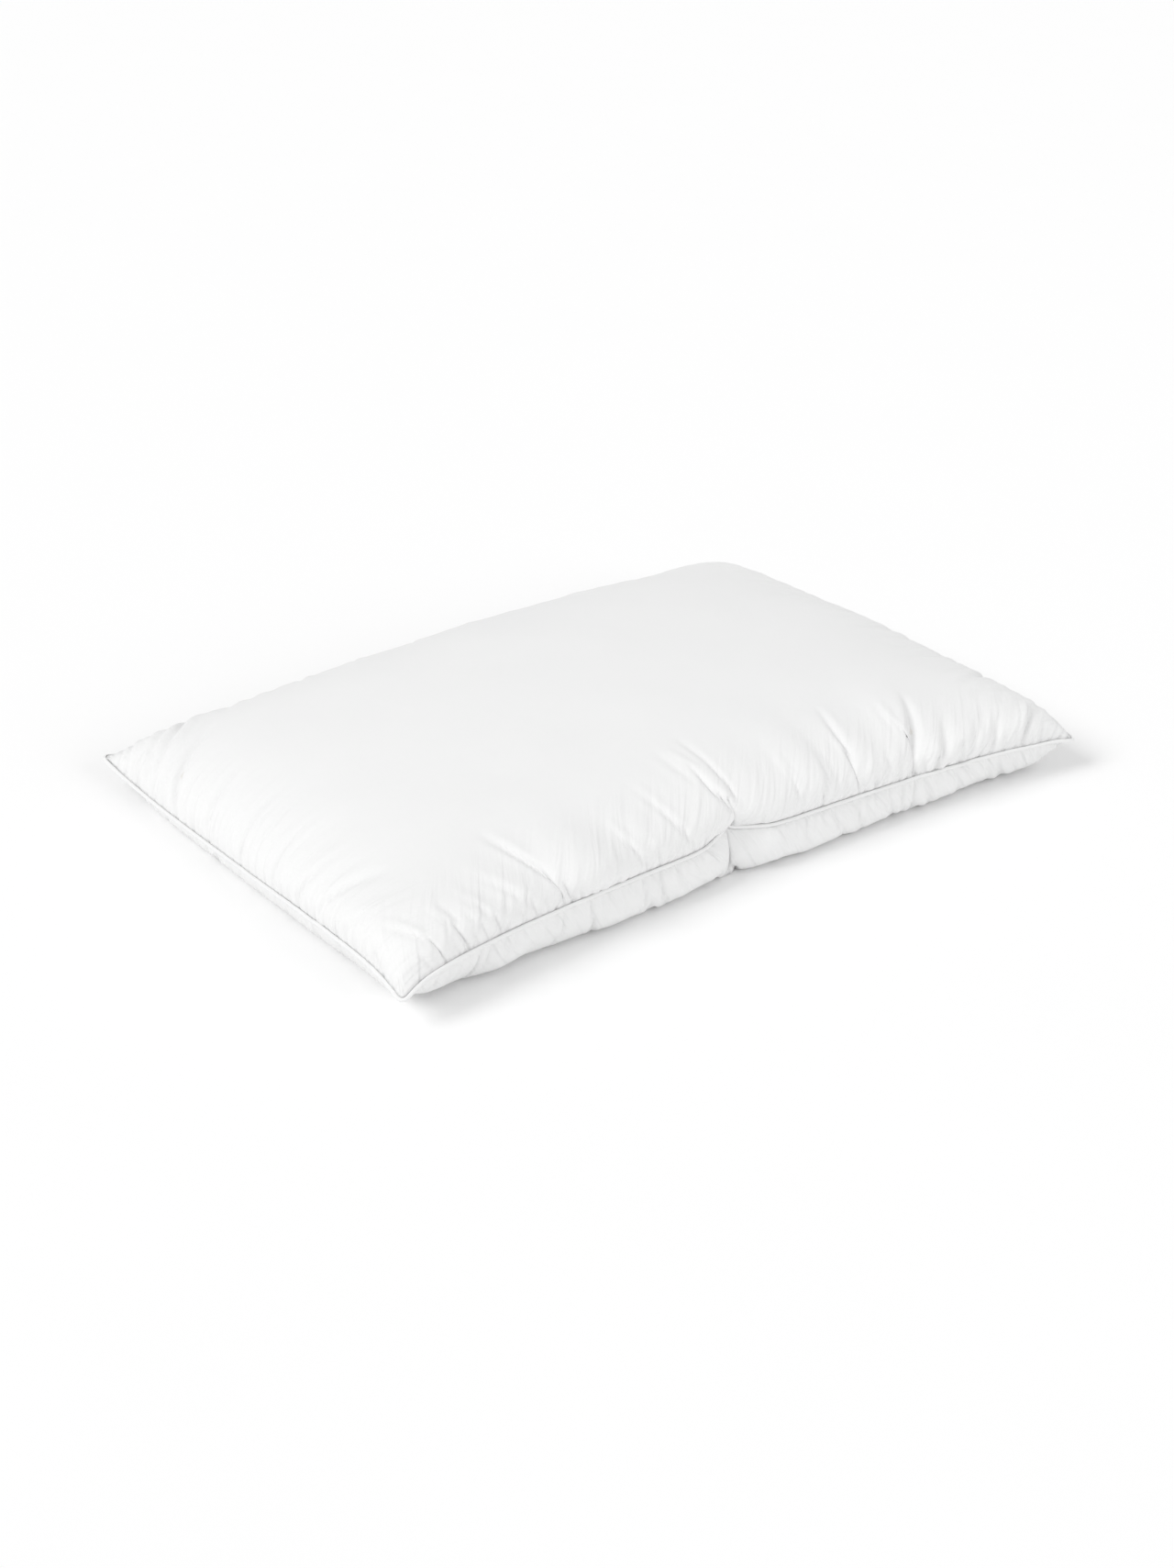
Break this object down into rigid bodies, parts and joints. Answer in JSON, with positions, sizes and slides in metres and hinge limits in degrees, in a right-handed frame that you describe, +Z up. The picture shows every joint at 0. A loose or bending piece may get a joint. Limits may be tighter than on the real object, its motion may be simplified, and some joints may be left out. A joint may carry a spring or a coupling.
{
  "type": "bed pillow",
  "caption": "Rectangular bed pillow: stuffed white cotton casing of two panels with a corded piping in the seam, lying flat.",
  "frame": {"origin": "on the surface that the pillow rests on, under the middle of the pillow", "axes": "+X along the pillow's long side, +Y across it, +Z up out of the rest face"},
  "size_m": [0.6916, 0.4814, 0.106],
  "materials": {
    "casing_cotton": "closely woven white cotton, soft low sheen",
    "piping_cotton": "the casing's white cotton cut on the bias",
    "filler_cord": "matt twisted cotton cord",
    "feather_filling": "matt loose feathers and down",
    "sewing_thread": "smooth white thread with a slight sheen",
    "label_tape": "thin satin tape, blank"
  },
  "bodies": {
    "root": {"top_panel": "casing_cotton", "bottom_panel": "casing_cotton", "filling": "feather_filling", "piping_cover": "piping_cotton", "piping_cord": "filler_cord", "needle_thread": "sewing_thread", "bobbin_thread": "sewing_thread", "closing_stitches": "sewing_thread", "care_label": "label_tape"}
  },
  "joints": []
}
